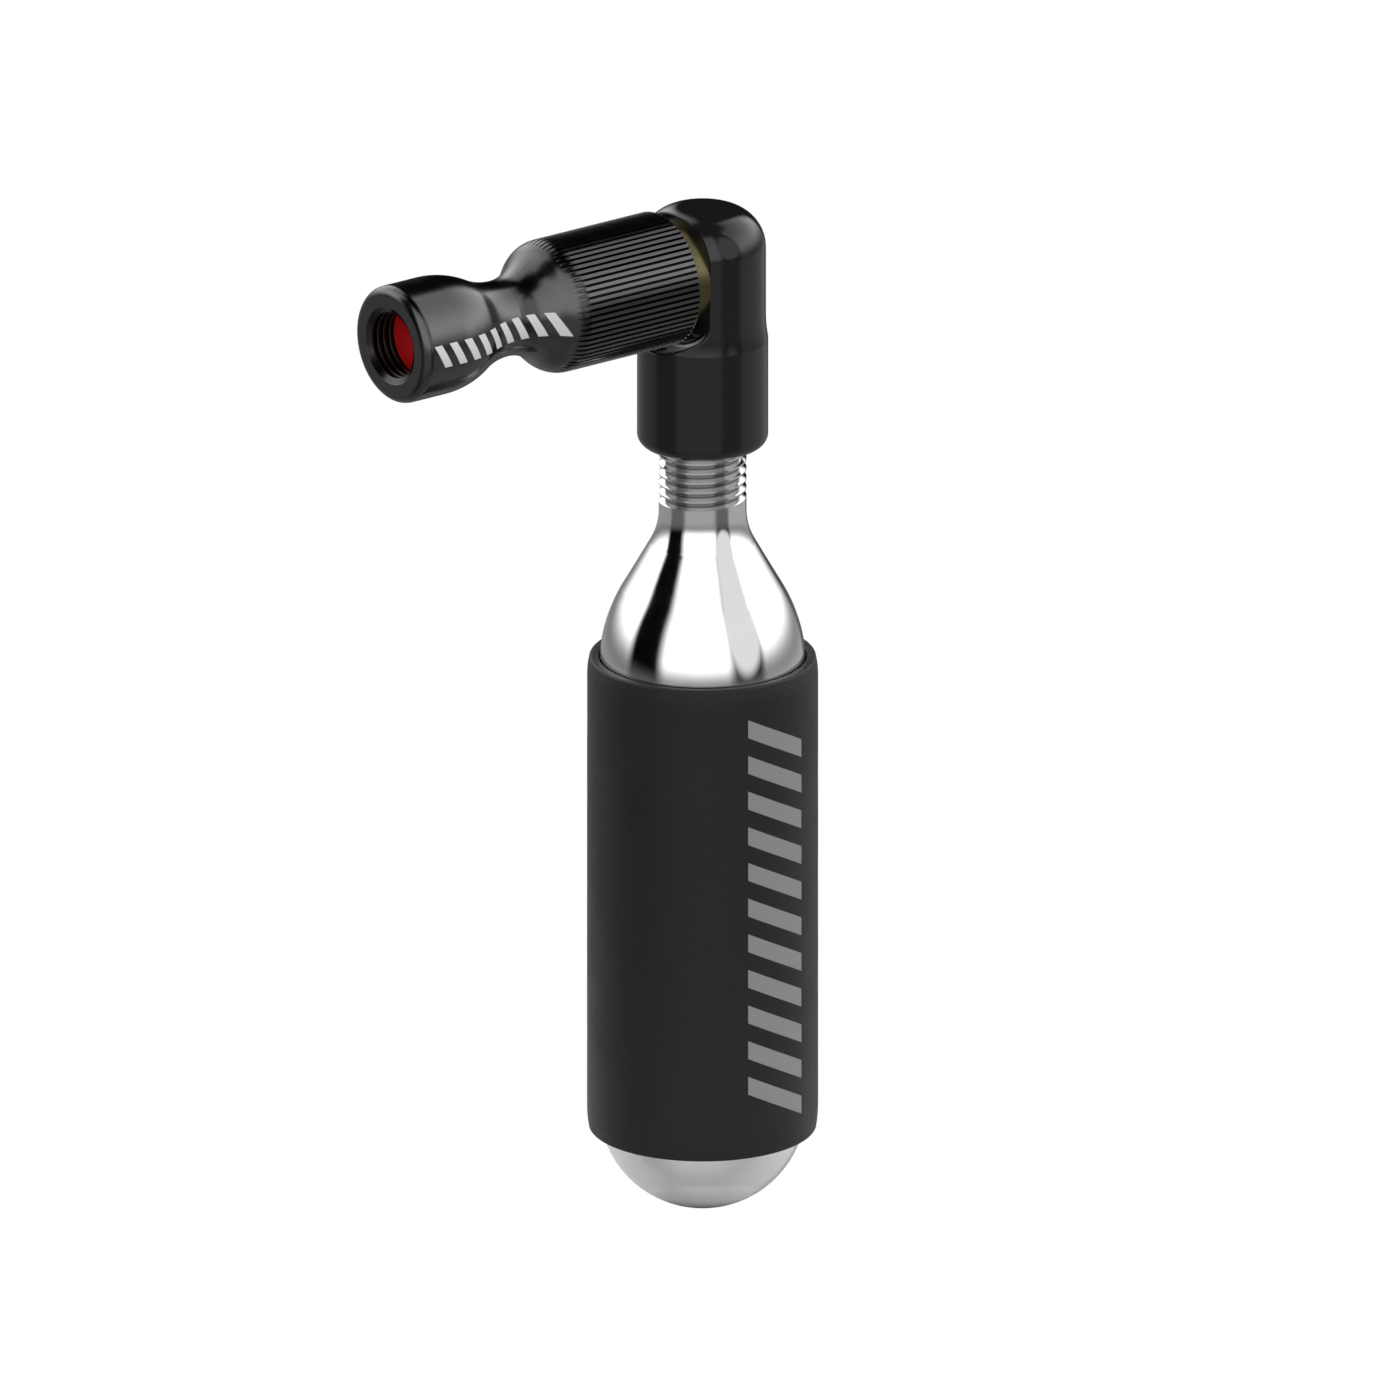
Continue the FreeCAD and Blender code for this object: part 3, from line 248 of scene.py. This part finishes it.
def chuck_mouth(graph, x, radius):
    """Masks of the chuck's mouth: all of it, its chamfer, its bore, and the bore's thread grooves. The
    chamfer, bore and grooves carry painted shade.
    """
    within = graph.ramp(radius, MOUTH_RADIUS, MOUTH_RADIUS + 0.1, 1.0, 0.0)
    inward = graph.math("MULTIPLY", within, graph.ramp(x, BORE_DEPTH - 0.2, BORE_DEPTH, 1.0, 0.0))
    past_chamfer = graph.ramp(x, CHAMFER_LENGTH - 0.02, CHAMFER_LENGTH + 0.02)
    bore = graph.math("MULTIPLY", inward, past_chamfer)
    past_face = graph.ramp(x, 0.0, 0.04)
    chamfer = graph.math("MULTIPLY", graph.math("SUBTRACT", inward, bore), past_face)
    beyond_lands = graph.ramp(radius, LAND_RADIUS + 0.02, LAND_RADIUS + 0.15)
    return inward, chamfer, bore, graph.math("MULTIPLY", bore, beyond_lands)


def chuck_mark(graph, x, y, z, inward):
    """The chuck's printed bars, along its front. The mouth's inner wall has none."""
    middle_x, front_y, soft = 10.4, -3.1, 0.1
    along = graph.math("SUBTRACT", x, middle_x)
    bars = slanted_bars(graph, z, along, width=2.6, length=18.0, pitch=2.0, slant=0.55)
    front = graph.ramp(y, front_y - soft, front_y + soft, 1.0, 0.0)
    outside = graph.math("SUBTRACT", 1.0, inward)
    return graph.math("MULTIPLY", bars, graph.math("MULTIPLY", front, outside))


def anodised_chuck():
    """Satin black anodised aluminium: fine turning rings, painted shade in the flutes and mouth, and a
    printed mark.
    """
    material, graph, out = new_material("anodised_chuck", Metallic=1.0)
    place = millimetres(graph)
    x, y, z = graph.split(place)
    rings = graph.noise(along_axis(graph, place, "X"), 5.0)
    blotches = graph.noise(place, 0.35)
    radius = graph.vector("LENGTH", graph.joined(0.0, y, z))
    flute_shade = chuck_flutes(graph, x, radius)
    inward, chamfer, bore, groove_shade = chuck_mouth(graph, x, radius)
    mark = chuck_mark(graph, x, y, z, inward)

    colour = graph.mix(blotches, grey(0.096), grey(0.112))
    # Painted shade: the mouth's chamfer and its bore are darker than the outside, as shade falls inside
    # the mouth.
    colour = graph.mix(chamfer, colour, grey(0.055))
    colour = graph.mix(bore, colour, grey(0.058))
    # Painted shade: the knurl's flutes and the bore's thread grooves are darkened almost to black, where
    # shade falls in them.
    colour = graph.mix(graph.math("MAXIMUM", flute_shade, groove_shade), colour, grey(0.005))
    graph.feed(out["Base Color"], graph.mix(mark, colour, grey(0.82)))
    graph.feed(out["Metallic"], graph.math("SUBTRACT", 1.0, mark))
    rough = graph.math("MULTIPLY_ADD", bore, 0.12, graph.spread(rings, 0.17, 0.22))
    graph.feed(out["Roughness"], graph.math("MULTIPLY_ADD", mark, 0.25, rough))
    graph.feed(out["Normal"], graph.bump(rings, 0.001))
    return material


def polished_head():
    """Gloss black anodised aluminium with a faint unevenness and fine turning rings."""
    material, graph, out = new_material("polished_head", Metallic=0.0, IOR=1.5)
    place = millimetres(graph)
    rings = graph.noise(along_axis(graph, place, "Z"), 6.0, detail=4.0, roughness=0.65)
    waves = graph.noise(place, 0.5, detail=2.0, roughness=0.5)
    graph.feed(out["Base Color"], graph.mix(waves, grey(0.0115), grey(0.0135)))
    graph.feed(out["Roughness"], graph.spread(rings, 0.05, 0.09))
    graph.feed(out["Normal"], graph.bump(rings, 0.0015, graph.bump(waves, 0.01)))
    return material


def nickel_plate():
    """Bright nickel plating on drawn steel: faint draw lines and haze, and painted shade in the thread's
    roots.
    """
    material, graph, out = new_material("nickel_plate", Metallic=1.0)
    place = millimetres(graph)
    x, y, _ = graph.split(place)
    drawn_down = graph.scaled(place, (1.0, 1.0, 0.03))
    lines = graph.noise(drawn_down, 5.0, detail=4.0, roughness=0.7)
    haze = graph.noise(place, 0.25)
    colour = graph.mix(haze, grey(0.88), grey(0.95))
    radius = distance_from_head_axis(graph, x, y)
    # Painted shade: the thread's roots are greyed where shade falls in them.
    root_shade = graph.ramp(radius, THREAD_ROOT_RADIUS, THREAD_ROOT_RADIUS + THREAD_ROOT_SOFT, 1.0, 0.0)
    graph.feed(out["Base Color"], graph.mix(root_shade, colour, grey(0.42)))
    graph.feed(out["Roughness"], graph.spread(haze, 0.05, 0.09))
    graph.feed(out["Normal"], graph.bump(lines, 0.00015))
    return material


def closed_cell_foam():
    """Black foam rubber with a fine matt skin and a printed mark on its front right."""
    material, graph, out = new_material("closed_cell_foam", Metallic=0.0)
    place = millimetres(graph)
    x, y, z = graph.split(place)
    skin = graph.noise(place, 3.2, detail=6.0, roughness=0.7)
    pores = graph.cells(place, 5.0)
    cloudy = graph.noise(place, 0.12)

    colour = graph.mix(cloudy, grey(0.0038), grey(0.0056))
    colour = graph.mix(graph.ramp(skin, 0.55, 0.8), colour, grey(0.0095))
    printed = sleeve_mark(graph, x, y, z)
    worn = graph.ramp(skin, 0.62, 0.72, 1.0, 0.75)
    mark = graph.math("MULTIPLY", printed, worn)
    graph.feed(out["Base Color"], graph.mix(mark, colour, grey(0.3)))
    graph.feed(out["Roughness"], graph.spread(cloudy, 0.52, 0.62))
    height = graph.math("MULTIPLY_ADD", graph.ramp(pores, 0.0, 0.5), 0.5, skin)
    graph.feed(out["Normal"], graph.bump(height, 0.03))
    out["Sheen Weight"].default_value = 0.06
    out["Sheen Roughness"].default_value = 0.4
    return material


def sleeve_mark(graph, x, y, z):
    """The sleeve's printed bars, wrapped round its side to the right of the view's middle."""
    turn = math.radians(41)
    facing = math.cos(turn) * TOWARDS_CAMERA + math.sin(turn) * TO_THE_RIGHT
    sideways = Vector((-facing.y, facing.x, 0))
    radius = SLEEVE_RADIUS / MM
    outwards = from_head_axis(graph, x, y)
    angle = graph.math(
        "ARCTAN2",
        graph.vector("DOT_PRODUCT", outwards, sideways),
        graph.vector("DOT_PRODUCT", outwards, facing),
    )
    across = graph.math("MULTIPLY", angle, radius)
    along = graph.math("SUBTRACT", z, (SLEEVE_LOW.z + SLEEVE_HIGH.z) / 2 / MM)
    bars = slanted_bars(graph, across, along, width=7.6, length=44.0, pitch=4.0, slant=0.5)
    depth, soft = 0.5, 0.1
    reach = distance_from_head_axis(graph, x, y)
    outside = graph.ramp(reach, radius - depth - soft, radius - depth + soft)
    return graph.math("MULTIPLY", bars, outside)


def red_rubber():
    """Smooth red rubber, a little cloudy, with a fine grain."""
    material, graph, out = new_material("red_rubber", Metallic=0.0)
    place = millimetres(graph)
    cloudy = graph.noise(place, 0.8)
    grain = graph.noise(place, 12.0)
    graph.feed(out["Base Color"], graph.mix(cloudy, rgb(0.56, 0.006, 0.010), rgb(0.74, 0.013, 0.018)))
    graph.feed(out["Roughness"], graph.spread(grain, 0.35, 0.5))
    graph.feed(out["Normal"], graph.bump(grain, 0.01))
    return material


def black_rubber():
    """Black rubber with a fine grain."""
    material, graph, out = new_material("black_rubber", Metallic=0.0)
    place = millimetres(graph)
    grain = graph.noise(place, 10.0)
    graph.feed(out["Base Color"], graph.mix(grain, grey(0.008), grey(0.02)))
    graph.feed(out["Roughness"], graph.spread(grain, 0.4, 0.6))
    graph.feed(out["Normal"], graph.bump(grain, 0.01))
    return material


def turned_metal(name, axis, dark, light, rough):
    """Bare turned metal: rings from the tool, slow tarnish, and a fine grain."""
    material, graph, out = new_material(name, Metallic=1.0)
    place = millimetres(graph)
    rings = graph.noise(along_axis(graph, place, axis), 8.0, detail=4.0, roughness=0.7)
    tarnish = graph.noise(place, 0.4)
    graph.feed(out["Base Color"], graph.mix(graph.spread(tarnish, 0.0, 1.0), dark, light))
    graph.feed(out["Roughness"], graph.spread(rings, rough, rough + 0.1))
    graph.feed(out["Normal"], graph.bump(rings, 0.004))
    return material


def white_nylon():
    """Turned white nylon, a little cloudy."""
    material, graph, out = new_material("white_nylon", Metallic=0.0)
    place = millimetres(graph)
    cloudy = graph.noise(place, 1.0)
    rings = graph.noise(along_axis(graph, place, "X"), 8.0)
    graph.feed(out["Base Color"], graph.mix(cloudy, rgb(0.72, 0.71, 0.67), rgb(0.82, 0.81, 0.78)))
    graph.feed(out["Roughness"], graph.spread(rings, 0.4, 0.5))
    graph.feed(out["Normal"], graph.bump(rings, 0.006))
    return material


def paint(material, *nodes):
    """Gives CAD nodes their material."""
    for node in nodes:
        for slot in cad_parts[node].material_slots:
            slot.material = material


def paint_nodes():
    paint(anodised_chuck(), "chuck_body")
    paint(polished_head(), "elbow_body")
    paint(nickel_plate(), "cartridge_shell")
    paint(red_rubber(), "chuck_seal")
    seals = "poppet_seal", "chuck_o_ring", "barrel_o_ring", "carrier_o_ring", "cartridge_gasket"
    paint(black_rubber(), *seals)
    bronze = rgb(0.115, 0.1, 0.048), rgb(0.155, 0.135, 0.068)
    paint(turned_metal("bronze", "X", *bronze, 0.3), "valve_barrel")
    brass = rgb(0.55, 0.38, 0.14), rgb(0.72, 0.52, 0.22)
    paint(turned_metal("brass_along", "X", *brass, 0.22), "push_disc", "spring_plug")
    paint(turned_metal("brass_upright", "Z", *brass, 0.22), "lance_carrier")
    steel = grey(0.42), grey(0.58)
    paint(turned_metal("steel_along", "X", *steel, 0.2), "seal_washer", "valve_poppet")
    paint(turned_metal("steel_upright", "Z", *steel, 0.2), "piercing_lance", "cartridge_cap")
    spring_steel = grey(0.3), grey(0.45)
    paint(turned_metal("spring_steel", "X", *spring_steel, 0.3), "retaining_ring", "return_spring")
    fine_wire = grey(0.35), grey(0.5)
    paint(turned_metal("fine_wire", "X", *fine_wire, 0.25), "poppet_spring")
    paint(white_nylon(), "valve_seat")


# ---- springs ---------------------------------------------------------------------------------------


def make_working_spring(node):
    """A copy of the spring's coil with a mesh of its own, carried by the head in place of the CAD node.
    """
    coil = bpy.data.objects.new(node + "_coil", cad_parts[node].data.copy())
    bpy.context.scene.collection.objects.link(coil)
    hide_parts(node)
    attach(coil, "head")
    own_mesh(coil)


def make_working_springs():
    for node in ("return_spring", "poppet_spring"):
        make_working_spring(node)


# ---- foam sleeve -----------------------------------------------------------------------------------


def arc(centre, radius, start, end, steps):
    """Points on a circle, in degrees from the first angle to the last."""
    angles = [math.radians(start + (end - start) * i / steps) for i in range(steps + 1)]
    return [(centre[0] + radius * math.cos(a), centre[1] + radius * math.sin(a)) for a in angles]


def draw_in(distance, reach, radius):
    """How far a barrelled end is drawn in at a distance from its edge."""
    into = max(0.0, reach - distance)
    return radius - math.sqrt(radius**2 - into**2)


def sleeve_section():
    """The sleeve's closed half section, as (radius, height) points going round it."""
    outer = SLEEVE_RADIUS
    inner = outer - SLEEVE_WALL
    bottom, top = SLEEVE_LOW.z, SLEEVE_HIGH.z
    foot_reach, foot_radius = 2.3 * MM, 11.4 * MM
    lip_reach, lip_radius = 2.1 * MM, 8.0 * MM
    rim, inner_rim = 0.25 * MM, 0.15 * MM
    side_steps, rim_steps, inner_steps = 90, 6, 5
    foot = outer - draw_in(rim, foot_reach, foot_radius)
    lip = outer - draw_in(rim, lip_reach, lip_radius)
    points = arc((foot - rim, bottom + rim), rim, -90, 0, rim_steps)
    for i in range(1, side_steps):
        height = bottom + rim + (top - bottom - 2 * rim) * i / side_steps
        near_foot = draw_in(height - bottom, foot_reach, foot_radius)
        near_lip = draw_in(top - height, lip_reach, lip_radius)
        points.append((outer - near_foot - near_lip, height))
    points += arc((lip - rim, top - rim), rim, 0, 90, rim_steps)
    points += arc((inner + inner_rim, top - inner_rim), inner_rim, 90, 180, inner_steps)
    points += arc((inner + inner_rim, bottom + inner_rim), inner_rim, 180, 270, inner_steps)
    return points


def make_foam_sleeve():
    """The sleeve as soft foam: a lathe form whose surface is very slightly uneven."""
    turns = 192
    unevenness, fineness = 0.03 * MM, 220
    section = sleeve_section()
    mesh = bmesh.new()
    rings = []
    for i in range(turns):
        angle = 2 * math.pi * i / turns
        level = Vector((math.cos(angle), math.sin(angle), 0))
        ring = []
        for radius, height in section:
            place = Vector((HEAD_AXIS_X, 0, height)) + level * radius
            swell = noise.noise(place * fineness) * unevenness
            ring.append(mesh.verts.new(place + level * min(0.0, swell)))
        rings.append(ring)
    count = len(section)
    for i, ring in enumerate(rings):
        after = rings[(i + 1) % turns]
        for j in range(count):
            k = (j + 1) % count
            mesh.faces.new((ring[j], after[j], after[k], ring[k]))
    bmesh.ops.recalc_face_normals(mesh, faces=mesh.faces)
    data = bpy.data.meshes.new("foam_sleeve_skin")
    mesh.to_mesh(data)
    mesh.free()
    for face in data.polygons:
        face.use_smooth = True
    data.materials.append(closed_cell_foam())
    sleeve = bpy.data.objects.new("foam_sleeve_skin", data)
    bpy.context.scene.collection.objects.link(sleeve)
    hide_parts("foam_sleeve")
    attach(sleeve, "sleeve")


# ---- studio ----------------------------------------------------------------------------------------

# Soft boxes round the object. Azimuths are from the camera's side, positive to the right, and heights
# from level, in degrees. A box comes up over the degrees of its rise, in the middle of which its bottom
# lies. Bounce is the light below a box, and fade the part of its brightness left at its top.
SOFT_BOXES = [
    {  # behind, on the left
        "azimuth": (-172, -90),
        "soft": 12,
        "bottom": 5,
        "rise": 32,
        "brightness": 2.2,
        "fade": 0.4,
        "bounce": 0.17,
    },
    {  # in front
        "azimuth": (-48, 34),
        "soft": 16,
        "bottom": -3,
        "rise": 16,
        "brightness": 1.4,
        "fade": 0.8,
        "bounce": 0.24,
    },
    {  # behind, on the right
        "azimuth": (72, 154),
        "soft": 12,
        "bottom": 5,
        "rise": 32,
        "brightness": 2.3,
        "fade": 0.4,
        "bounce": 0.26,
    },
]
FILLER = {"azimuth": 53, "height": 26, "half_width": 23, "half_height": 32, "brightness": 0.78}
FADE_FROM = 10
BOX_TOP = 64
BOX_EDGE = 15
BELOW = 0.12
DARK = 0.002
FLOOR_RADIUS = 0.15


def filler_light(graph, azimuth, height):
    """A dimmer round light between the front box and the right one."""
    full_to, none_from = 0.8, 1.15
    across = graph.math("SUBTRACT", azimuth, FILLER["azimuth"])
    across = graph.math("DIVIDE", across, FILLER["half_width"])
    upright = graph.math("SUBTRACT", height, FILLER["height"])
    upright = graph.math("DIVIDE", upright, FILLER["half_height"])
    away = graph.vector("LENGTH", graph.joined(across, upright, 0.0))
    return graph.ramp(away, full_to, none_from, FILLER["brightness"], 0.0)


def soft_box(graph, box, azimuth, height, below):
    """The light of one soft box, with what bounces from under it."""
    across = graph.band(azimuth, *box["azimuth"], box["soft"])
    rise = graph.ramp(height, box["bottom"] - box["rise"] / 2, box["bottom"] + box["rise"] / 2)
    fall = graph.ramp(height, BOX_TOP - BOX_EDGE / 2, BOX_TOP + BOX_EDGE / 2, 1.0, 0.0)
    upper = graph.math("MULTIPLY", rise, fall)
    faded = box["brightness"] * box["fade"]
    level = graph.ramp(height, FADE_FROM, BOX_TOP, box["brightness"], faded)
    glow = graph.math("MULTIPLY_ADD", below, box["bounce"], graph.math("MULTIPLY", upper, level))
    return graph.math("MULTIPLY", across, glow)


def make_world():
    """A dark studio with soft boxes. The camera itself sees plain white behind the object."""
    world = bpy.data.worlds.new("studio")
    bpy.context.scene.world = world
    world.use_nodes = True
    graph = Graph(world.node_tree)
    background = world.node_tree.nodes["Background"]
    background.inputs["Color"].default_value = grey(1.0)
    direction = graph.add("ShaderNodeTexCoord").outputs["Generated"]
    right = graph.vector("DOT_PRODUCT", direction, TO_THE_RIGHT)
    front = graph.vector("DOT_PRODUCT", direction, TOWARDS_CAMERA)
    up = graph.split(direction)[2]
    azimuth = graph.math("DEGREES", graph.math("ARCTAN2", right, front))
    height = graph.math("DEGREES", graph.math("ARCSINE", up))
    below = graph.ramp(height, -BOX_EDGE, 0.0, 1.0, 0.0)
    light = graph.math("MULTIPLY_ADD", below, BELOW, DARK)
    for box in SOFT_BOXES:
        light = graph.math("ADD", light, soft_box(graph, box, azimuth, height, below))
    light = graph.math("MAXIMUM", light, filler_light(graph, azimuth, height))
    seen = graph.add("ShaderNodeLightPath").outputs["Is Camera Ray"]
    rest = graph.math("SUBTRACT", 1.0, light)
    graph.feed(background.inputs["Strength"], graph.math("MULTIPLY_ADD", seen, rest, light))


def floor_finish():
    """A pale surface with a painted pool of light: brightest by the object, dimming towards the floor's
    edge.
    """
    material, graph, out = new_material("floor", Roughness=0.3, IOR=2.0)
    x, y, _ = graph.split(millimetres(graph))
    away = distance_from_head_axis(graph, x, y)
    # Painted pool of light: the floor's colour is lightest round the object and falls off outwards.
    near = graph.ramp(away, 12.0, 50.0, 0.62, 0.34)
    far = graph.ramp(away, 60.0, FLOOR_RADIUS / MM, 1.0, 0.3)
    graph.feed(out["Base Color"], graph.math("MULTIPLY", near, far))
    return material


def make_floor():
    """A pale round floor under the object, which the object reflects. The camera and the lights pass
    through it, because the sleeve slides down past it."""
    mesh = bmesh.new()
    bmesh.ops.create_circle(mesh, cap_ends=True, segments=128, radius=FLOOR_RADIUS)
    bmesh.ops.translate(mesh, verts=mesh.verts, vec=(HEAD_AXIS_X, 0, cad_bounds[0][2]))
    data = bpy.data.meshes.new("floor")
    mesh.to_mesh(data)
    mesh.free()
    data.materials.append(floor_finish())
    floor = bpy.data.objects.new("floor", data)
    floor.visible_camera = False
    floor.visible_shadow = False
    bpy.context.scene.collection.objects.link(floor)


def make_camera():
    """Parallel view at the angle stated above, centred on the object."""
    data = bpy.data.cameras.new("camera")
    data.type = "ORTHO"
    data.ortho_scale = VIEW_WIDTH
    camera = bpy.data.objects.new("camera", data)
    bpy.context.scene.collection.objects.link(camera)
    back = math.cos(VIEW_ELEVATION) * TOWARDS_CAMERA + math.sin(VIEW_ELEVATION) * UPWARDS
    upright = back.cross(TO_THE_RIGHT)
    middle = (cad_bounds[0][2] + cad_bounds[1][2]) / 2
    aim = Vector((HEAD_AXIS_X, 0, middle)) + AIM_RIGHT * TO_THE_RIGHT + AIM_UP * upright
    turn = Matrix((TO_THE_RIGHT, upright, back)).transposed().to_4x4()
    camera.matrix_world = Matrix.Translation(aim + back * CAMERA_DISTANCE) @ turn
    bpy.context.scene.camera = camera


paint_nodes()
make_working_springs()
make_foam_sleeve()
make_world()
make_floor()
make_camera()
bpy.context.scene.view_settings.view_transform = "Standard"
